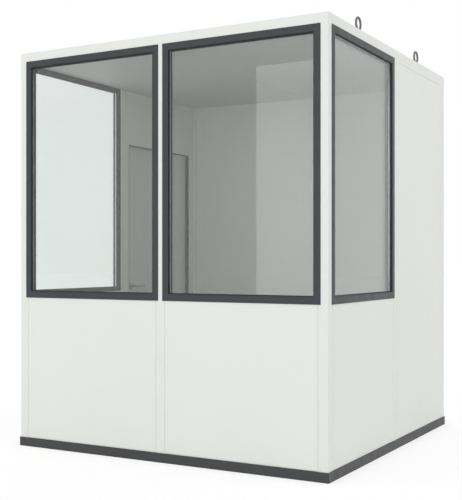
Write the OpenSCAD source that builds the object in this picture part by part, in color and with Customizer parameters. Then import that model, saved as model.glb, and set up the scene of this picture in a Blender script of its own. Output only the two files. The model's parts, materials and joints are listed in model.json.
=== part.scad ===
// Indoor modular cabin: a square steel-framed room of posts and insulated panels,
// with windows round its front corners, a door in its left wall and lifting eyes on its roof.
// Millimetres. The origin is on the ground at the middle of the cabin. +Z is up, -Y is the front.

/* [Overall] */
// Width over the wall faces
cabin_w = 2120; // [1800:10:2800]
// Depth over the wall faces
cabin_d = 2120; // [1800:10:2800]
// Height from the ground to the top edge of the roof
cabin_h = 2500; // [2300:10:2900]

/* [Frame] */
// Face width of a post
post = 60; // [50:1:80]
// Thickness of a wall, and of a middle post
wall = 45; // [40:1:60]
// Height of the beam round the roof
beam_h = 70; // [55:1:100]
// Height of the base rail
base_h = 55; // [40:1:90]
// How far the base rail stands out past the walls
base_lip = 5; // [0:1:12]
// Width of the shadow joint along a panel's edges
joint_w = 2; // [1:0.5:4]
// Depth of the shadow joint
joint_d = 2; // [1:0.5:4]
// Chamfer along a post's upright edges
post_chamfer = 1.5; // [0.5:0.5:3]

/* [Roof and floor] */
// Thickness of a roof panel
roof_t = 60; // [40:1:65]
// Thickness of the floor covering
covering_t = 3; // [2:0.5:6]

/* [Windows] */
// Height of the top of the lower wall panels
sill_z = 960; // [700:5:1300]
// Face width of a window frame
trim_w = 40; // [32:1:60]
// How far a window frame laps over the posts round it
trim_lap = 15; // [5:1:22]
// Thickness of the window frame's outer flange
trim_t = 3; // [2:0.5:6]
// Distance from the flange's face back to the glass
glass_recess = 12; // [6:1:16]
// Thickness of one pane
pane_t = 4; // [3:0.5:6]
// Gap between the two panes of a sealed unit
pane_gap = 12; // [8:1:14]
// How far the glass sits in its frame
glass_bite = 12; // [8:1:16]

/* [Door] */
// Width of the wall strip beside the door, at the rear
strip_rear = 75; // [60:1:110]
// Width of the wall strip beside the door, at the front
strip_front = 45; // [40:1:110]
// Height of the top of the doorway
door_top_z = 2035; // [1900:5:2150]
// Thickness of the door leaf
leaf_t = 40; // [35:1:50]
// Depth of the leaf's inner face behind the wall's inner face
leaf_recess = 31; // [24:1:35]
// Running gap round the leaf
leaf_gap = 7; // [7:0.5:8]
// How far the leaf laps over each edge of the doorway
leaf_lap = 4; // [2:1:8]
// Face width of the casing round the leaf
casing_w = 40; // [30:1:50]
// Sheet thickness of the lining and the stop
lining_t = 3; // [2:0.5:4]
// Width of the frame's seat in the wall
seat_w = 30; // [24:1:34]

/* [Hinges] */
// Outer radius of a hinge barrel
barrel_r = 8; // [7:0.5:10]
// Length of one knuckle
knuckle_l = 40; // [30:1:60]
// Radius of the hinge pin
pin_r = 4; // [3:0.5:5]
// Radial clearance of the pin
pin_clearance = 0.25; // [0.1:0.05:0.5]
// Distance of the hinge axis from the leaf's outer face
hinge_offset = 12; // [11:0.5:16]
// Length of a hinge plate
plate_l = 30; // [20:1:38]
// Thickness of a hinge plate
plate_t = 3; // [2:0.5:5]

/* [Handle] */
// Height of the lever's spindle
handle_z = 990; // [900:5:1100]
// Distance of the spindle from the leaf's free edge
backset = 65; // [45:1:80]
// Radius of the lever's neck
neck_r = 8; // [6:0.5:10]
// Reach of the lever's grip from the rose
neck_l = 40; // [35:1:55]
// Length of the grip
grip_l = 120; // [90:1:140]
// Radius of the grip
grip_r = 9; // [7:0.5:11]
// Radius of a rose
rose_r = 26; // [20:1:30]
// Thickness of a rose
rose_t = 7; // [4:0.5:10]
// Distance from the lever's spindle down to the lock cylinder
lock_drop = 72; // [60:1:92]

/* [Lifting eyes] */
// Distance of an eye's centre from the side face of the cabin
eye_inset = 38; // [30:1:40]
// Height of an eye over the beam
eye_h = 95; // [80:1:120]
// Outer radius of the ring
ring_r = 42; // [34:1:48]
// Radius of the ring's bar
ring_bar_r = 6.5; // [5:0.5:9]
// Radius of the collar
collar_r = 21; // [16:1:22]
// Thickness of the collar
collar_t = 8; // [5:1:12]
// Width of the flat on the inside of the ring's bar
eye_flat_w = 7; // [4:0.5:8]

/* [Hidden] */
FRONT = 0;
RIGHT = 1;
BACK = 2;
LEFT = 3;
eps = 1;

base_w = post + base_lip;
beam_z = cabin_h - beam_h;
daylight_inset = trim_w - trim_lap;
glass_v = glass_recess - trim_t;
unit_t = 2 * pane_t + pane_gap;

// The door stands in the rear bay of the left wall.
doorway_u0 = post + strip_rear;
doorway_u1 = post + bay(cabin_d) - strip_front;
leaf_v = wall - leaf_recess;
leaf_u0 = doorway_u0 - leaf_lap;
leaf_u1 = doorway_u1 + leaf_lap;
leaf_face_v = leaf_v - leaf_t;
threshold_top = base_h + covering_t;
leaf_z0 = threshold_top + leaf_gap;
leaf_z1 = door_top_z + leaf_lap;
stop_v = leaf_v + leaf_gap;
seat_v = stop_v + lining_t;
casing_gap = leaf_lap + leaf_gap;

hinge_u = leaf_u0 - leaf_gap / 2;
hinge_v = leaf_face_v - hinge_offset;
hinge_zs = [base_h + 200, base_h + 960, door_top_z - 260];
web_w = 7.5;
knuckle_gap = 0.5;
pin_l = 30;

handle_u = leaf_u1 - backset;
spindle_r = 4.5;
spindle_clearance = 0.5;
neck_clearance = 0.3;
keyhole_r = 8.5;
keyhole_t = 2;

neck_foot_r = 13;
ring_major = ring_r - ring_bar_r;
ring_z = cabin_h + eye_h - ring_r;
eye_r = ring_major - sqrt(pow(ring_bar_r, 2) - pow(eye_flat_w / 2, 2));

// ---- Shared shapes ---------------------------------------------------------------------------

// Clear width between the posts of a wall of this length.
function bay(length) = (length - 3 * post) / 2;

// Start of bay 0 or 1, counted from a wall's left end as seen from outside.
function bay_u(length, n) = post + n * (bay(length) + post);

// Length of the wall on a side.
function side_length(side) = (side == FRONT || side == BACK) ? cabin_w : cabin_d;

// Brings wall coordinates to their side: u along the wall from its left end as seen from
// outside, v into the room from the outer face, and z up.
module on_side(side) {
    across = (side == FRONT || side == BACK) ? cabin_d : cabin_w;
    rotate([0, 0, 90 * side])
        translate([-side_length(side) / 2, -across / 2, 0])
            children();
}

// A box between two corners.
module slab(u0, u1, v0, v1, z0, z1) {
    translate([u0, v0, z0])
        cube([u1 - u0, v1 - v0, z1 - z0]);
}

// An upright bar with chamfered edges, its first corner at the origin.
module upright(size_u, size_v, z0, z1) {
    c = post_chamfer;
    translate([0, 0, z0])
        linear_extrude(z1 - z0)
            polygon([
                [c, 0], [size_u - c, 0], [size_u, c], [size_u, size_v - c],
                [size_u - c, size_v], [c, size_v], [0, size_v - c], [0, c]
            ]);
}

// A wall panel. Its core meets its neighbours, and its skins stop short of them in a joint.
module panel(u0, u1, z0, z1) {
    slab(u0, u1, joint_d, wall - joint_d, z0, z1);
    slab(u0 + joint_w, u1 - joint_w, 0, wall, z0 + joint_w, z1 - joint_w);
}

// A rectangular ring in a wall, between an outer outline and one set in from it all round.
module ring(u0, u1, z0, z1, inset, v0, v1) {
    difference() {
        slab(u0, u1, v0, v1, z0, z1);
        slab(u0 + inset, u1 - inset, v0 - eps, v1 + eps, z0 + inset, z1 - inset);
    }
}

// ---- Base and floor --------------------------------------------------------------------------

// The front and back rails run through, and the side rails stand between them.
module base_rail(side) {
    color("#3c4042")
        on_side(side)
            if (side == FRONT || side == BACK)
                slab(-base_lip, cabin_w + base_lip, -base_lip, post, 0, base_h);
            else
                slab(post, cabin_d - post, -base_lip, post, 0, base_h);
}

module floor_deck() {
    color("#8a7a60")
        slab(post - cabin_w / 2, cabin_w / 2 - post, post - cabin_d / 2, cabin_d / 2 - post, 0, base_h);
}

module floor_covering() {
    inner_x = cabin_w / 2 - wall;
    inner_y = cabin_d / 2 - wall;
    color("#7d8082")
        difference() {
            slab(-inner_x, inner_x, -inner_y, inner_y, base_h, threshold_top);
            for (x = [-1, 1], y = [-1, 1])
                translate([x * cabin_w / 2, y * cabin_d / 2, threshold_top])
                    cube([2 * post, 2 * post, 4 * covering_t], center = true);
        }
}

// ---- Posts and beams -------------------------------------------------------------------------

module corner_post(side) {
    color("#eceeeb")
        on_side(side)
            upright(post, post, base_h, cabin_h);
}

module middle_post(side) {
    color("#eceeeb")
        on_side(side)
            translate([bay_u(side_length(side), 1) - post, 0, 0])
                upright(post, wall, base_h, beam_z);
}

module roof_beam(side) {
    color("#eceeeb")
        on_side(side)
            slab(post, side_length(side) - post, 0, post, beam_z, cabin_h);
}

module roof_panels() {
    half_x = cabin_w / 2 - post;
    half_y = cabin_d / 2 - post;
    color("#e4e6e3")
        for (x0 = [-half_x, 0])
            difference() {
                slab(x0, x0 + half_x, -half_y, half_y, beam_z, beam_z + roof_t);
                for (z = [beam_z - eps, beam_z + roof_t - joint_d])
                    slab(-joint_w, joint_w, -half_y - eps, half_y + eps, z, z + joint_d + eps);
            }
}

// ---- Wall panels -----------------------------------------------------------------------------

module lower_panel(side, n) {
    u = bay_u(side_length(side), n);
    color("#e9ebe6")
        on_side(side)
            panel(u, u + bay(side_length(side)), base_h, sill_z);
}

module wall_panel(side, n) {
    u = bay_u(side_length(side), n);
    color("#e9ebe6")
        on_side(side)
            panel(u, u + bay(side_length(side)), base_h, beam_z);
}

// The seat cut into the wall's outer side, in which the door frame lies.
module door_frame_seat() {
    slab(doorway_u0 - seat_w, doorway_u1 + seat_w, -eps, seat_v, base_h - eps, door_top_z + seat_w);
}

module door_side_strips() {
    color("#e9ebe6")
        on_side(LEFT)
            difference() {
                union() {
                    slab(post, doorway_u0, 0, wall, base_h, door_top_z);
                    slab(doorway_u1, post + bay(cabin_d), 0, wall, base_h, door_top_z);
                }
                door_frame_seat();
            }
}

module door_over_panel() {
    color("#e9ebe6")
        on_side(LEFT)
            difference() {
                panel(post, post + bay(cabin_d), door_top_z, beam_z);
                door_frame_seat();
            }
}

// ---- Windows ---------------------------------------------------------------------------------

// The sealed unit's outline in a window of this bay, and what lies between its faces.
module sealed_unit(u, width, v0, v1) {
    inset = daylight_inset - glass_bite;
    slab(u + inset, u + width - inset, v0, v1, sill_z + inset, beam_z - inset);
}

// A frame bar all round the bay, with a flange that laps over the posts and a channel for the glass.
module window_frame(side, n) {
    u = bay_u(side_length(side), n);
    width = bay(side_length(side));
    color("#3a3f42")
        on_side(side)
            difference() {
                union() {
                    ring(u, u + width, sill_z, beam_z, daylight_inset, 0, wall);
                    ring(u - trim_lap, u + width + trim_lap, sill_z - trim_lap, beam_z + trim_lap,
                         trim_w, -trim_t, 0);
                }
                sealed_unit(u, width, glass_v, glass_v + unit_t);
            }
}

module window_glass(side, n) {
    u = bay_u(side_length(side), n);
    width = bay(side_length(side));
    color("#a9b3b0", 0.4)
        on_side(side)
            for (v = [glass_v, glass_v + pane_t + pane_gap])
                sealed_unit(u, width, v, v + pane_t);
}

// ---- Door frame ------------------------------------------------------------------------------

// Three sides of a rectangle round the doorway, from distance a0 to a1 outside its edge.
module doorway_band(a0, a1, v0, v1) {
    difference() {
        slab(doorway_u0 - a1, doorway_u1 + a1, v0, v1, base_h, door_top_z + a1);
        slab(doorway_u0 - a0, doorway_u1 + a0, v0 - eps, v1 + eps, base_h - eps, door_top_z + a0);
    }
}

// One welded frame: the lining in the doorway, the stop behind the leaf and the casing round it.
module door_frame() {
    color("#3a3f42")
        on_side(LEFT) {
            doorway_band(-lining_t, 0, stop_v, wall);
            doorway_band(-lining_t, seat_w, stop_v, seat_v);
            doorway_band(casing_gap, seat_w, leaf_face_v, seat_v);
            doorway_band(casing_gap, casing_gap + casing_w, leaf_face_v, 0);
        }
}

module door_threshold() {
    color("#a8abad")
        on_side(LEFT)
            slab(doorway_u0 + lining_t, doorway_u1 - lining_t, -base_lip, wall, base_h, threshold_top);
}

// ---- Door ------------------------------------------------------------------------------------

// A cylinder across the leaf, from depth v0 to v1.
module across_leaf(u, z, radius, v0, v1) {
    translate([u, v0, z])
        rotate([-90, 0, 0])
            cylinder(r = radius, h = v1 - v0, $fn = 48);
}

module door_leaf() {
    color("#e6e8e4")
        on_side(LEFT)
            difference() {
                slab(leaf_u0, leaf_u1, leaf_face_v, leaf_v, leaf_z0, leaf_z1);
                across_leaf(handle_u, handle_z, spindle_r + spindle_clearance,
                            leaf_face_v - eps, leaf_v + eps);
            }
}

// A lever rose and a lock rose on one face, from depth v. The lock cylinder's end stands
// out of its rose by keyhole_t, towards -v or towards +v.
module roses(v, direction) {
    end_v = direction < 0 ? v - keyhole_t : v;
    difference() {
        across_leaf(handle_u, handle_z, rose_r, v, v + rose_t);
        across_leaf(handle_u, handle_z, neck_r + neck_clearance, v - eps, v + rose_t + eps);
    }
    across_leaf(handle_u, handle_z - lock_drop, rose_r, v, v + rose_t);
    across_leaf(handle_u, handle_z - lock_drop, keyhole_r, end_v, end_v + rose_t + keyhole_t);
}

module door_roses() {
    color("#9a9da0")
        on_side(LEFT) {
            roses(leaf_face_v - rose_t, -1);
            roses(leaf_v, 1);
        }
}

// A grip with round ends, running from the neck towards the hinges.
module grip(v) {
    translate([handle_u, v, handle_z])
        sphere(r = grip_r, $fn = 48);
    translate([handle_u - grip_l, v, handle_z])
        rotate([0, 90, 0])
            cylinder(r = grip_r, h = grip_l, $fn = 48);
    translate([handle_u - grip_l, v, handle_z])
        sphere(r = grip_r, $fn = 48);
}

// Both levers, joined by the spindle through the leaf.
module door_lever() {
    outside_v = leaf_face_v - rose_t - neck_l;
    inside_v = leaf_v + rose_t + neck_l;
    color("#9a9da0")
        on_side(LEFT) {
            grip(outside_v);
            grip(inside_v);
            across_leaf(handle_u, handle_z, neck_r, outside_v, leaf_face_v - spindle_clearance);
            across_leaf(handle_u, handle_z, neck_r, leaf_v + spindle_clearance, inside_v);
            across_leaf(handle_u, handle_z, spindle_r, outside_v, inside_v);
        }
}

// A plate on the face and the web that joins it to the barrel, towards -u or towards +u.
module hinge_plate(direction, z) {
    near = hinge_u + direction * leaf_gap / 2;
    far = near + direction * plate_l;
    web = near + direction * web_w;
    slab(min(near, far), max(near, far), leaf_face_v - plate_t, leaf_face_v, z, z + knuckle_l);
    slab(min(near, web), max(near, web), hinge_v, leaf_face_v, z, z + knuckle_l);
}

// The lower knuckle of each hinge, on the casing, with the pin that stands in it.
module door_hinges_fixed() {
    color("#8d9092")
        on_side(LEFT)
            for (z = hinge_zs) {
                hinge_plate(-1, z);
                translate([hinge_u, hinge_v, z]) {
                    cylinder(r = barrel_r, h = knuckle_l, $fn = 48);
                    cylinder(r = pin_r, h = knuckle_l + pin_l, $fn = 48);
                }
            }
}

// The upper knuckle of each hinge, on the leaf, bored from below for the pin.
module door_hinges_moving() {
    color("#8d9092")
        on_side(LEFT)
            for (z = hinge_zs) {
                upper_z = z + knuckle_l + knuckle_gap;
                difference() {
                    union() {
                        hinge_plate(1, upper_z);
                        translate([hinge_u, hinge_v, upper_z])
                            cylinder(r = barrel_r, h = knuckle_l, $fn = 48);
                    }
                    translate([hinge_u, hinge_v, upper_z - eps])
                        cylinder(r = pin_r + pin_clearance, h = pin_l + 2 * eps, $fn = 48);
                }
            }
}

// ---- Lifting eyes ----------------------------------------------------------------------------

// The ring stands in line with the beam. Its bar is flat on the inside, round the eye.
module ring_profile() {
    difference() {
        translate([ring_major, 0])
            circle(r = ring_bar_r, $fn = 32);
        translate([0, -ring_bar_r])
            square([eye_r, 2 * ring_bar_r]);
    }
}

module lifting_eye(left_right, front_back) {
    color("#5b5e5f")
        translate([left_right * (cabin_w / 2 - eye_inset), front_back * cabin_d / 4, 0]) {
            translate([0, 0, cabin_h])
                cylinder(r = collar_r, h = collar_t, $fn = 48);
            translate([0, 0, cabin_h])
                cylinder(r = neck_foot_r, h = ring_z - ring_major - cabin_h, $fn = 48);
            translate([0, 0, ring_z])
                rotate([0, 90, 0])
                    rotate_extrude($fn = 64)
                        ring_profile();
        }
}

// ---- The whole cabin -------------------------------------------------------------------------

base_rail(FRONT);  // base_rail_front
base_rail(BACK);  // base_rail_back
base_rail(LEFT);  // base_rail_left
base_rail(RIGHT);  // base_rail_right
floor_deck();
floor_covering();
corner_post(FRONT);  // corner_post_front_left
corner_post(RIGHT);  // corner_post_front_right
corner_post(BACK);  // corner_post_back_right
corner_post(LEFT);  // corner_post_back_left
middle_post(FRONT);  // middle_post_front
middle_post(RIGHT);  // middle_post_right
middle_post(BACK);  // middle_post_back
middle_post(LEFT);  // middle_post_left
lower_panel(FRONT, 0);  // lower_panel_front_left
lower_panel(FRONT, 1);  // lower_panel_front_right
lower_panel(RIGHT, 0);  // lower_panel_right
lower_panel(LEFT, 1);  // lower_panel_left
wall_panel(RIGHT, 1);  // wall_panel_right
wall_panel(BACK, 0);  // wall_panel_back_right
wall_panel(BACK, 1);  // wall_panel_back_left
door_side_strips();
door_over_panel();
window_frame(FRONT, 0);  // window_frame_front_left
window_frame(FRONT, 1);  // window_frame_front_right
window_frame(RIGHT, 0);  // window_frame_right
window_frame(LEFT, 1);  // window_frame_left
window_glass(FRONT, 0);  // window_glass_front_left
window_glass(FRONT, 1);  // window_glass_front_right
window_glass(RIGHT, 0);  // window_glass_right
window_glass(LEFT, 1);  // window_glass_left
door_frame();
door_threshold();
door_leaf();
door_roses();
door_lever();
door_hinges_fixed();
door_hinges_moving();
roof_beam(FRONT);  // roof_beam_front
roof_beam(BACK);  // roof_beam_back
roof_beam(LEFT);  // roof_beam_left
roof_beam(RIGHT);  // roof_beam_right
roof_panels();
lifting_eye(-1, -1);  // lifting_eye_front_left
lifting_eye(1, -1);  // lifting_eye_front_right
lifting_eye(-1, 1);  // lifting_eye_back_left
lifting_eye(1, 1);  // lifting_eye_back_right
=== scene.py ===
# %% [markdown]
# # An indoor modular cabin
# The cabin is a square room of white steel posts and insulated panels. Dark window frames fill
# the upper half of its front corners, a door hangs in its left wall, and four lifting eyes stand
# on its roof. The construction model already holds every piece of real size, so this lesson
# gives the pieces their finishes, adds the small parts that are too fine for construction, and
# sets up the floor, the light and the camera.

# %%
import json
import math

import bmesh
import bpy
import numpy as np
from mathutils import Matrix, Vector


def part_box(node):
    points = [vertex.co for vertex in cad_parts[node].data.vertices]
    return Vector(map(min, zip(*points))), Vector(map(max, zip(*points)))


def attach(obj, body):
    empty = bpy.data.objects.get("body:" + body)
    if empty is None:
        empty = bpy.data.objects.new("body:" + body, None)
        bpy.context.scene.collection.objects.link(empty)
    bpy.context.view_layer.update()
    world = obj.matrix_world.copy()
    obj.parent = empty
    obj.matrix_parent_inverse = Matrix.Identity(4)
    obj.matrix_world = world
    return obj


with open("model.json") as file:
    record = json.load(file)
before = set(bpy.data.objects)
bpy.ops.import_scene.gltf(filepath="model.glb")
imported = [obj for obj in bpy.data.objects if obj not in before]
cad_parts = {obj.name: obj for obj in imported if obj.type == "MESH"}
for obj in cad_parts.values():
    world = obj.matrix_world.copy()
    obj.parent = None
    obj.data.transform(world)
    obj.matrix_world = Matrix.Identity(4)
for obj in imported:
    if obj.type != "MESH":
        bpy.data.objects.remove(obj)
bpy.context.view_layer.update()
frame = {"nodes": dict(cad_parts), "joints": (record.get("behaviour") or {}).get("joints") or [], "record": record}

# %% [markdown]
# ## Node helpers
# A finish is a small graph of nodes. Two short helpers keep each graph readable: one adds a node
# and sets its inputs, and one joins an output to an input. Every pattern reads Object
# coordinates, so it stays on its piece when the piece moves.

# %%
def add(tree, kind, inputs=None, **settings):
    """A new node of a kind, with input values by name and settings by attribute."""
    made = tree.nodes.new(kind)
    for attribute, value in settings.items():
        setattr(made, attribute, value)
    for name, value in (inputs or {}).items():
        made.inputs[name].default_value = value
    return made


def join(tree, source, output, target, entry):
    """Links one node's output to another's input."""
    tree.links.new(source.outputs[output], target.inputs[entry])


def blank_material(name):
    """A material with only an output node, and its tree and output."""
    material = bpy.data.materials.new(name)
    material.use_nodes = True
    tree = material.node_tree
    tree.nodes.clear()
    return material, tree, add(tree, "ShaderNodeOutputMaterial")


def noise(tree, scale, detail=2.0, stretch=(1.0, 1.0, 1.0)):
    """Noise on Object coordinates, stretched by a factor on each axis."""
    place = add(tree, "ShaderNodeTexCoord")
    turn = add(tree, "ShaderNodeMapping", {"Scale": stretch})
    pattern = add(tree, "ShaderNodeTexNoise", {"Scale": scale, "Detail": detail})
    join(tree, place, "Object", turn, "Vector")
    join(tree, turn, "Vector", pattern, "Vector")
    return pattern


def between(tree, pattern, low, high, output=0):
    """A pattern's value from 0.3 to 0.7, spread from low to high."""
    spread = add(tree, "ShaderNodeMapRange",
                 {"From Min": 0.3, "From Max": 0.7, "To Min": low, "To Max": high})
    join(tree, pattern, output, spread, "Value")
    return spread


def two_tones(tree, pattern, dark, light, output=0):
    """A pattern that runs from one colour to another."""
    ramp = add(tree, "ShaderNodeValToRGB")
    ramp.color_ramp.elements[0].position = 0.3
    ramp.color_ramp.elements[1].position = 0.7
    ramp.color_ramp.elements[0].color = (*dark, 1)
    ramp.color_ramp.elements[1].color = (*light, 1)
    join(tree, pattern, output, ramp, "Fac")
    return ramp


def relief(tree, pattern, depth, edge_radius):
    """A bump of that depth in metres, over edges softened by a small radius."""
    soft = add(tree, "ShaderNodeBevel", {"Radius": edge_radius}, samples=4)
    bump = add(tree, "ShaderNodeBump", {"Strength": 1.0, "Distance": depth})
    join(tree, pattern, 0, bump, "Height")
    join(tree, soft, "Normal", bump, "Normal")
    return bump


print("node helpers ready")

# %% [markdown]
# ## Coated steel
# Posts and panel skins are steel with a baked coating. The coat is never quite flat: it has a
# fine orange peel, a slight change of gloss, and a very slow drift of tone across a sheet. Three
# noises at three scales give those, and a bevel in the normal catches light on folded edges.

# %%
def coated_steel(name, colour, drift, gloss, peel_size, peel_depth, edge_radius=0.0015):
    """Tone is a slow noise, gloss a middling one, and the peel a fine one."""
    material, tree, out = blank_material(name)
    shader = add(tree, "ShaderNodeBsdfPrincipled")
    darker = tuple(c * (1 - drift) for c in colour)
    tone = two_tones(tree, noise(tree, 1.4, 3.0), darker, colour)
    shine = between(tree, noise(tree, 14.0, 3.0), gloss - 0.05, gloss + 0.05)
    peel = relief(tree, noise(tree, 1 / peel_size), peel_depth, edge_radius)
    join(tree, tone, "Color", shader, "Base Color")
    join(tree, shine, "Result", shader, "Roughness")
    join(tree, peel, "Normal", shader, "Normal")
    join(tree, shader, "BSDF", out, "Surface")
    return material


PEEL = 0.004
finishes = {
    "frame_white": coated_steel("frame_coat", (0.84, 0.855, 0.82), 0.02, 0.38, PEEL, 0.00003),
    "panel_white": coated_steel("panel_coat", (0.85, 0.865, 0.825), 0.025, 0.42, PEEL, 0.00004),
    # The roof is the panels' white coat set darker: painted shade of the ceiling, which shows only from inside.
    "roof_white": coated_steel("roof_coat_painted_shade", (0.72, 0.73, 0.71), 0.04, 0.5, PEEL, 0.00005),
    # The door leaf is the panels' white coat set darker: painted shade of the recess the leaf sits in.
    "door_white": coated_steel("door_coat_painted_shade", (0.77, 0.78, 0.76), 0.02, 0.36, PEEL, 0.00003),
}
print("coated steel:", sorted(finishes))

# %% [markdown]
# ## Powder coat
# Window frames, the door frame and the base rails have a dark powder coat. It is rougher and
# grainier than the white coat, so the same maker is used with a smaller and deeper peel.

# %%
GRAIN = 0.0012
finishes["window_anthracite"] = coated_steel(
    "window_powder", (0.034, 0.040, 0.045), 0.18, 0.45, GRAIN, 0.00006)
finishes["door_anthracite"] = coated_steel(
    "door_powder", (0.036, 0.042, 0.047), 0.18, 0.45, GRAIN, 0.00006)
finishes["base_steel"] = coated_steel(
    "base_powder", (0.050, 0.052, 0.055), 0.25, 0.5, GRAIN, 0.00008)
print("powder coat grain in millimetres:", GRAIN * 1000)

# %% [markdown]
# ## Bare metals
# Handles and hinges are satin stainless steel, whose brushing is a noise stretched along one
# direction. The threshold and the spacer bars are brushed aluminium. The lifting eyes are
# forged, so they get an even, dull and slightly pitted surface.

# %%
def bare_metal(name, dark, light, gloss, scale, stretch, depth):
    """A metal whose tone, gloss and relief all follow one stretched noise."""
    material, tree, out = blank_material(name)
    shader = add(tree, "ShaderNodeBsdfPrincipled", {"Metallic": 1.0})
    lines = noise(tree, scale, 4.0, stretch)
    join(tree, two_tones(tree, lines, dark, light), "Color", shader, "Base Color")
    join(tree, between(tree, lines, gloss - 0.08, gloss + 0.08), "Result", shader, "Roughness")
    join(tree, relief(tree, lines, depth, 0.0006), "Normal", shader, "Normal")
    join(tree, shader, "BSDF", out, "Surface")
    return material


ALONG_Y = (30.0, 1.0, 30.0)
ALONG_Z = (30.0, 30.0, 1.0)
EVEN = (1.0, 1.0, 1.0)
finishes["handle_steel"] = bare_metal(
    "satin_handle", (0.50, 0.50, 0.50), (0.62, 0.62, 0.61), 0.3, 60.0, ALONG_Y, 0.00001)
finishes["hinge_steel"] = bare_metal(
    "satin_hinge", (0.46, 0.46, 0.46), (0.58, 0.58, 0.57), 0.34, 60.0, ALONG_Z, 0.00001)
finishes["threshold_aluminium"] = bare_metal(
    "brushed_aluminium", (0.60, 0.61, 0.62), (0.72, 0.73, 0.74), 0.36, 60.0, ALONG_Y, 0.00001)
finishes["eye_steel"] = bare_metal(
    "forged_steel", (0.13, 0.135, 0.14), (0.24, 0.245, 0.25), 0.48, 420.0, EVEN, 0.00012)
print("bare metals added:", len(finishes))

# %% [markdown]
# ## Floor
# The floor covering is speckled sheet vinyl over a wooden board. Speckles are a fine noise with
# a sharp step between two greys. The board's grain is a noise pulled out along one direction.

# %%
def soft_sheet(name, dark, light, gloss, scale, stretch, depth):
    """A dull non-metal whose tone and relief follow one noise."""
    material, tree, out = blank_material(name)
    shader = add(tree, "ShaderNodeBsdfPrincipled")
    flecks = noise(tree, scale, 5.0, stretch)
    join(tree, two_tones(tree, flecks, dark, light), "Color", shader, "Base Color")
    join(tree, between(tree, flecks, gloss - 0.06, gloss + 0.06), "Result", shader, "Roughness")
    join(tree, relief(tree, flecks, depth, 0.0005), "Normal", shader, "Normal")
    join(tree, shader, "BSDF", out, "Surface")
    return material


finishes["floor_covering"] = soft_sheet(
    "speckled_vinyl", (0.20, 0.21, 0.22), (0.31, 0.32, 0.33), 0.55, 420.0, EVEN, 0.00003)
finishes["floor_board"] = soft_sheet(
    "birch_board", (0.36, 0.26, 0.16), (0.55, 0.43, 0.28), 0.62, 18.0, (1.0, 14.0, 14.0), 0.0001)
rubber = soft_sheet(
    "black_rubber", (0.012, 0.012, 0.013), (0.028, 0.028, 0.029), 0.62, 900.0, EVEN, 0.00003)
spacer_metal = bare_metal(
    "spacer_aluminium", (0.55, 0.56, 0.57), (0.66, 0.67, 0.68), 0.4, 300.0, EVEN, 0.00001)
print("soft finishes ready")

# %% [markdown]
# ## Glass
# Each window is a sealed unit of two thin panes. Light should pass straight through a flat pane,
# so the pane is mostly a clear shader, and a mirror takes over as the view grows more glancing:
# the share is 0.04 + 0.96 (1 - cosine) to the fifth. A faint noise in the tint and a faint wave
# in the mirror keep the pane from looking like a perfect sheet.

# %%
GLASS_FACE_SHARE = 0.04
GLANCE_POWER = 5.0
WAVE_DEPTH = 0.00015


def sealed_glass(name):
    """A clear shader mixed with a mirror by the share of light that glass turns back."""
    material, tree, out = blank_material(name)
    clear = add(tree, "ShaderNodeBsdfTransparent")
    mirror = add(tree, "ShaderNodeBsdfGlossy", {"Roughness": 0.01})
    tint = two_tones(tree, noise(tree, 0.8), (0.975, 0.985, 0.98), (0.985, 0.99, 0.988))
    wave = add(tree, "ShaderNodeBump", {"Strength": 1.0, "Distance": WAVE_DEPTH})
    glance = add(tree, "ShaderNodeLayerWeight", {"Blend": 0.5})
    fifth = add(tree, "ShaderNodeMath", operation="POWER")
    fifth.inputs[1].default_value = GLANCE_POWER
    share = add(tree, "ShaderNodeMapRange", {"To Min": GLASS_FACE_SHARE, "To Max": 1.0})
    mix = add(tree, "ShaderNodeMixShader")
    join(tree, noise(tree, 1.6), 0, wave, "Height")
    join(tree, wave, "Normal", mirror, "Normal")
    join(tree, tint, "Color", clear, "Color")
    join(tree, glance, "Facing", fifth, 0)
    join(tree, fifth, 0, share, "Value")
    join(tree, share, "Result", mix, 0)
    join(tree, clear, "BSDF", mix, 1)
    join(tree, mirror, "BSDF", mix, 2)
    join(tree, mix, "Shader", out, "Surface")
    return material


finishes["window_glass"] = sealed_glass("sealed_glass")
print("finishes:", sorted(finishes))

# %% [markdown]
# ## Dress the construction
# The record says which slot each construction node takes, so one loop gives every node its
# finish. The nodes themselves are never moved or changed.

# %%
for part in frame["record"]["subparts"]:
    shown = frame["nodes"][part["node"]]
    finish = finishes[part["material_slot"]]
    if not shown.material_slots:
        shown.data.materials.append(finish)
    for place in shown.material_slots:
        place.material = finish
print("nodes dressed:", len(frame["nodes"]))

# %% [markdown]
# ## Surface helpers
# A new piece is a grid of points worked out as one array. Its rows run round a closed profile
# and its columns run along a path. One helper turns any such grid into a mesh, closes its ends
# if it has any, and turns its faces outwards.

# %%
def surface(name, grids, material, body, closed_path, smooth=True):
    """Joins grids of points, each (path, profile, 3), with the profile always closed."""
    points, faces, start = [], [], 0
    for grid in grids:
        rows, cols = grid.shape[:2]
        index = start + np.arange(rows * cols).reshape(rows, cols)
        after = np.roll(index, -1, axis=0) if closed_path else index[1:]
        before = index if closed_path else index[:-1]
        quads = np.stack([before, np.roll(before, -1, 1), np.roll(after, -1, 1), after], -1)
        faces += quads.reshape(-1, 4).tolist()
        if not closed_path:
            faces += [index[0].tolist(), index[-1].tolist()]
        points.append(grid.reshape(-1, 3))
        start += rows * cols
    mesh = bpy.data.meshes.new(name)
    mesh.from_pydata(np.concatenate(points).tolist(), [], faces)
    work = bmesh.new()
    work.from_mesh(mesh)
    bmesh.ops.remove_doubles(work, verts=work.verts, dist=1e-6)
    bmesh.ops.dissolve_degenerate(work, edges=work.edges, dist=1e-7)
    bmesh.ops.recalc_face_normals(work, faces=work.faces)
    work.to_mesh(mesh)
    work.free()
    mesh.polygons.foreach_set("use_smooth", [smooth] * len(mesh.polygons))
    mesh.materials.append(material)
    piece = bpy.data.objects.new(name, mesh)
    bpy.context.scene.collection.objects.link(piece)
    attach(piece, body)
    return piece


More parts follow.
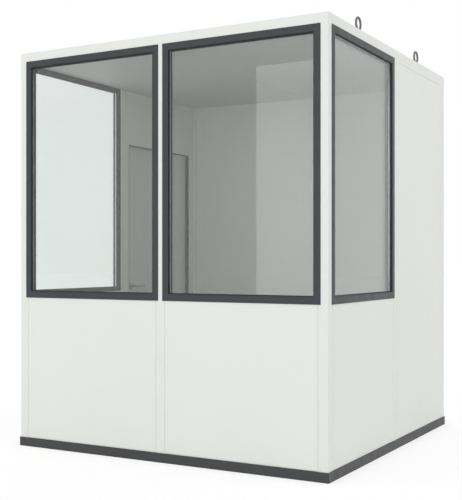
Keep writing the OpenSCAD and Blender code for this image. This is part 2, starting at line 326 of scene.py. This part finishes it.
def ring_grid(centre, half_width, half_height, along, out, profile):
    """A profile carried round a rectangle: each corner moves out by a on both of its axes."""
    signs = np.array([(-1, -1), (1, -1), (1, 1), (-1, 1)], float)
    a, b = np.asarray(profile, float).T
    side = signs[:, :1] * (half_width + a)
    rise = signs[:, 1:] * (half_height + a)
    up = np.array((0.0, 0.0, 1.0))
    depth = np.broadcast_to(b, side.shape)
    return centre + side[..., None] * along + rise[..., None] * up + depth[..., None] * out


def turned_grid(centre, axis, profile, stretch=(1.0, 1.0), steps=24):
    """A profile of (radius, height) turned about an axis, and stretched across it."""
    angle = np.linspace(0, 2 * math.pi, steps, endpoint=False)
    radius, height = np.asarray(profile, float).T
    axis = np.asarray(axis, float)
    first = np.array((0.0, 1.0, 0.0))
    second = np.cross(axis, first)
    across = stretch[0] * np.cos(angle)[None, :, None] * first
    across = across + stretch[1] * np.sin(angle)[None, :, None] * second
    return centre + radius[:, None, None] * across + height[:, None, None] * axis


print("surface helpers ready")

# %% [markdown]
# ## Glazing seals and spacer bars
# A black rubber seal presses on each face of a sealed unit, all round the opening, and an
# aluminium bar holds the two panes apart. A seal is a small quarter-round profile carried round
# the opening's rectangle, with mitred corners as on the real thing.

# %%
TRIM_W = 0.040
SEAL = 0.006
SPACER_H = 0.014
PANE = 0.004
windows = {
    "front_left": (np.array((1.0, 0, 0)), np.array((0, -1.0, 0))),
    "front_right": (np.array((1.0, 0, 0)), np.array((0, -1.0, 0))),
    "right": (np.array((0, 1.0, 0)), np.array((1.0, 0, 0))),
    "left": (np.array((0, -1.0, 0)), np.array((-1.0, 0, 0))),
}
turn = np.linspace(0, math.pi / 2, 6)
quarter = np.stack([-SEAL * np.cos(turn), SEAL * np.sin(turn)], 1)
outer_profile = np.concatenate([quarter, [(0.0, 0.0)]])
inner_profile = outer_profile * (1, -1)

for where, (along, out) in windows.items():
    low, high = (np.array(c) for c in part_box("window_frame_" + where))
    pane_low, pane_high = (np.array(c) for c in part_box("window_glass_" + where))
    middle = (low + high) / 2
    half_w = abs((high - low) @ along) / 2 - TRIM_W
    half_h = (high - low)[2] / 2 - TRIM_W
    pane_half_w = abs((pane_high - pane_low) @ along) / 2
    pane_half_h = (pane_high - pane_low)[2] / 2
    faces_at = sorted((pane_low @ out, pane_high @ out))
    flat_middle = middle - (middle @ out) * out
    outside = flat_middle + faces_at[1] * out
    inside = flat_middle + faces_at[0] * out
    surface("glazing_seal_" + where,
            [ring_grid(outside, half_w, half_h, along, out, outer_profile),
             ring_grid(inside, half_w, half_h, along, out, inner_profile)],
            rubber, "cabin", True)
    bar = [(0, -PANE), (-SPACER_H, -PANE), (-SPACER_H, faces_at[0] - faces_at[1] + PANE),
           (0, faces_at[0] - faces_at[1] + PANE)]
    surface("spacer_bar_" + where,
            [ring_grid(outside, pane_half_w, pane_half_h, along, out, bar)],
            spacer_metal, "cabin", True, smooth=False)
print("windows sealed:", sorted(windows))

# %% [markdown]
# ## Door seal
# A rubber bead lies on the stop, on the two sides and the top, and the leaf closes
# against it. It is a half-round profile carried along three sides of a rectangle.

# %%
leaf_low, leaf_high = (np.array(c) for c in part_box("door_leaf"))
BEAD_HALF_W = 0.0034
BEAD_H = 0.0062
BEAD_POINTS = 9
STOP_GAP = 0.007
LEAF_LAP = 0.004
bead_turn = np.linspace(0, math.pi, BEAD_POINTS)
bead_a = BEAD_HALF_W * np.cos(bead_turn)
bead_b = BEAD_H * np.sin(bead_turn)
stop_x = leaf_high[0] + STOP_GAP
line = (leaf_low[1] + LEAF_LAP, leaf_high[1] - LEAF_LAP, leaf_high[2] - LEAF_LAP)
# Each corner holds its y and z, and how far the profile moves out on each of them.
corners = np.array([(line[0], leaf_low[2], -1, 0), (line[0], line[2], -1, 1),
                    (line[1], line[2], 1, 1), (line[1], leaf_low[2], 1, 0)])
bead = np.stack([
    np.broadcast_to(stop_x - bead_b, (len(corners), BEAD_POINTS)),
    corners[:, :1] + corners[:, 2:3] * bead_a,
    corners[:, 1:2] + corners[:, 3:4] * bead_a,
], -1)
surface("door_seal", [bead], rubber, "cabin", False)
print("door seal length in metres:", round(2 * (line[2] - leaf_low[2]) + line[1] - line[0], 2))

# %% [markdown]
# ## Hinge caps and screws
# Each hinge has a domed cap at both ends of its barrel, and two screw heads in each plate. All
# are small turned shapes: a profile of radius and height, turned about its axis.

# %%
pivot = next(j for j in frame["joints"] if j["child"] == "door")["pos_m"]
fixed_low = np.array(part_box("door_hinges_fixed")[0])
moving_low, moving_high = (np.array(c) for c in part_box("door_hinges_moving"))
BARREL_R = 0.008
CAP_H = 0.003
KNUCKLE = 0.040
HINGES = 3
# The upper knuckle of a hinge stands this far over the foot of the lower one.
step = moving_low[2] - fixed_low[2]
hinge_z = np.linspace(fixed_low[2], moving_high[2] - KNUCKLE - step, HINGES)
dome_turn = np.linspace(0, math.pi / 2, 6)
dome = np.stack([BARREL_R * np.cos(dome_turn), CAP_H * np.sin(dome_turn)], 1)
lift = step + KNUCKLE

surface("hinge_caps_upper",
        [turned_grid(np.array((pivot[0], pivot[1], z + lift)), (0, 0, 1), dome) for z in hinge_z],
        finishes["hinge_steel"], "door", False)
surface("hinge_caps_lower",
        [turned_grid(np.array((pivot[0], pivot[1], z)), (0, 0, -1), dome) for z in hinge_z],
        finishes["hinge_steel"], "cabin", False)

SCREW_R = 0.0038
SCREW_H = 0.0012
PLATE_T = 0.003
SCREW_REACH = 0.0225
screw = np.stack([SCREW_R * np.cos(dome_turn), SCREW_H * np.sin(dome_turn)], 1)
plate_x = leaf_low[0] - PLATE_T


def plate_screws(name, body, y, base_z):
    """Two heads in each plate, a quarter and three quarters of the way up it."""
    heads = [turned_grid(np.array((plate_x, y, z + share * KNUCKLE)), (-1, 0, 0), screw)
             for z in base_z for share in (0.25, 0.75)]
    surface(name, heads, finishes["hinge_steel"], body, False)


plate_screws("hinge_screws_leaf", "door", pivot[1] - SCREW_REACH, hinge_z + step)
plate_screws("hinge_screws_frame", "cabin", pivot[1] + SCREW_REACH, hinge_z)
print("hinges at heights:", hinge_z.round(3).tolist())

# %% [markdown]
# ## Key slots
# The lock cylinder shows a narrow slot for the key on both faces. A thin turned disc, stretched
# into a long oval, stands for it in black.

# %%
rose_low, rose_high = (np.array(c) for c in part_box("door_roses"))
ROSE_R = 0.026
key_y = (rose_low[1] + rose_high[1]) / 2
key_z = rose_low[2] + ROSE_R
SLOT_PROFILE = [(0.0032, 0.0), (0.0030, 0.0003), (0.0, 0.0003)]
SLOT_NARROW = (0.28, 1.0)
surface("key_slots",
        [turned_grid(np.array((face_x, key_y, key_z)), (way, 0, 0), SLOT_PROFILE, SLOT_NARROW)
         for face_x, way in ((rose_low[0], -1), (rose_high[0], 1))],
        rubber, "door", False)
print("key slots at height", round(float(key_z), 3))

# %% [markdown]
# ## Roof seam cap
# A folded steel cap covers the seam between the two roof panels. It is one low profile with
# sloping sides, carried from the front beam to the back beam.

# %%
roof_low, roof_high = (np.array(c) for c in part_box("roof_panels"))
CAP = [(-0.036, 0), (-0.034, 0.0015), (-0.014, 0.0015), (-0.011, 0.008), (0.011, 0.008),
       (0.014, 0.0015), (0.034, 0.0015), (0.036, 0)]
cap_x, cap_z = np.array(CAP).T
ends = np.array((roof_low[1], roof_high[1]))
cap = np.stack([np.broadcast_to(cap_x, (2, len(CAP))),
                np.broadcast_to(ends[:, None], (2, len(CAP))),
                np.broadcast_to(roof_high[2] + cap_z, (2, len(CAP)))], -1)
surface("roof_seam_cap", [cap], finishes["roof_white"], "cabin", False, smooth=False)
print("roof seam cap from", ends.round(3).tolist())

# %% [markdown]
# ## Floor and light
# The cabin stands on a plain white floor in a white room. A world of even white light shows the
# white coats as they are, and a wide card in front of the cabin brightens the front a little and
# mirrors in the glass. For the camera and for mirrors the floor is lifted to white, and it still
# takes the cabin's soft shadow.

# %%
def seen_directly(tree):
    """1 for rays from the camera, from a mirror or through glass, and 0 for the rest."""
    path = add(tree, "ShaderNodeLightPath")
    either = add(tree, "ShaderNodeMath", operation="MAXIMUM")
    any_of = add(tree, "ShaderNodeMath", operation="MAXIMUM")
    join(tree, path, "Is Camera Ray", either, 0)
    join(tree, path, "Is Glossy Ray", either, 1)
    join(tree, either, 0, any_of, 0)
    join(tree, path, "Is Transmission Ray", any_of, 1)
    return any_of


def flat_piece(name, corners, material):
    """A single flat face, kept out of the object."""
    mesh = bpy.data.meshes.new(name)
    mesh.from_pydata(corners, [], [(0, 1, 2, 3)])
    mesh.materials.append(material)
    piece = bpy.data.objects.new(name, mesh)
    bpy.context.scene.collection.objects.link(piece)
    return piece


FLOOR = 60.0
FLOOR_GREY, SHADOW_GREY, FLOOR_LIFT = 0.8, 0.42, 0.62
floor_paint, tree, out = blank_material("studio_floor")
plain = add(tree, "ShaderNodeBsdfDiffuse", {"Color": (FLOOR_GREY, FLOOR_GREY, FLOOR_GREY, 1)})
shaded = add(tree, "ShaderNodeBsdfDiffuse", {"Color": (SHADOW_GREY, SHADOW_GREY, SHADOW_GREY, 1)})
glow = add(tree, "ShaderNodeEmission", {"Strength": FLOOR_LIFT})
lifted = add(tree, "ShaderNodeAddShader")
choose = add(tree, "ShaderNodeMixShader")
join(tree, shaded, "BSDF", lifted, 0)
join(tree, glow, "Emission", lifted, 1)
join(tree, seen_directly(tree), 0, choose, 0)
join(tree, plain, "BSDF", choose, 1)
join(tree, lifted, "Shader", choose, 2)
join(tree, choose, "Shader", out, "Surface")
flat_piece("studio_floor",
           [(-FLOOR, -FLOOR, 0), (FLOOR, -FLOOR, 0), (FLOOR, FLOOR, 0), (-FLOOR, FLOOR, 0)],
           floor_paint)

WORLD_LIGHT = 0.95
world = bpy.data.worlds.new("studio_world")
world.use_nodes = True
bpy.context.scene.world = world
tree = world.node_tree
tree.nodes.clear()
out = add(tree, "ShaderNodeOutputWorld")
lighting = add(tree, "ShaderNodeBackground", {"Color": (1, 1, 1, 1), "Strength": WORLD_LIGHT})
backdrop = add(tree, "ShaderNodeBackground", {"Color": (1, 1, 1, 1), "Strength": 1.0})
choose = add(tree, "ShaderNodeMixShader")
join(tree, seen_directly(tree), 0, choose, 0)
join(tree, lighting, "Background", choose, 1)
join(tree, backdrop, "Background", choose, 2)
join(tree, choose, "Shader", out, "Surface")

CARD_Y, CARD_LEFT, CARD_RIGHT = -10.0, -4.0, 3.0
CARD_FOOT, CARD_TOP = 0.6, 4.3
CARD_LIGHT = 1.9
card_light, tree, out = blank_material("light_card")
glow = add(tree, "ShaderNodeEmission", {"Strength": CARD_LIGHT})
join(tree, glow, "Emission", out, "Surface")
card = flat_piece("light_card",
                  [(CARD_LEFT, CARD_Y, CARD_FOOT), (CARD_LEFT, CARD_Y, CARD_TOP),
                   (CARD_RIGHT, CARD_Y, CARD_TOP), (CARD_RIGHT, CARD_Y, CARD_FOOT)], card_light)
card.visible_camera = False
card.visible_shadow = False
# Two sealed units in a line are eight glass faces, and each must let the view through.
bpy.context.scene.cycles.transparent_max_bounces = 32
print("stage set")

# %% [markdown]
# ## Camera
# The camera stands to the right of the front, at about chest height, and looks level, so that
# upright edges stay upright. Its place is measured from the cabin's front right corner.

# %%
corner_low, corner_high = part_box("corner_post_front_right")
CAMERA_RIGHT, CAMERA_BACK, CAMERA_HEIGHT = 1.989, 4.686, 1.183
TURN = math.radians(29.77)
LENS_MM, SENSOR_MM = 68.76, 36.0
SHIFT_X, SHIFT_Y = 0.032, 0.0202
FARTHEST = 200.0
lens = bpy.data.cameras.new("studio_camera")
lens.sensor_width = SENSOR_MM
lens.lens = LENS_MM
lens.shift_x = SHIFT_X
lens.shift_y = SHIFT_Y
lens.clip_end = FARTHEST
camera = bpy.data.objects.new("studio_camera", lens)
camera.location = (corner_high.x + CAMERA_RIGHT, corner_low.y - CAMERA_BACK, CAMERA_HEIGHT)
camera.rotation_euler = (math.pi / 2, 0, TURN)
bpy.context.scene.collection.objects.link(camera)
bpy.context.scene.camera = camera
bpy.context.scene.view_settings.view_transform = "Standard"
print("camera at", [round(c, 3) for c in camera.location])

# %%
bpy.context.view_layer.update()
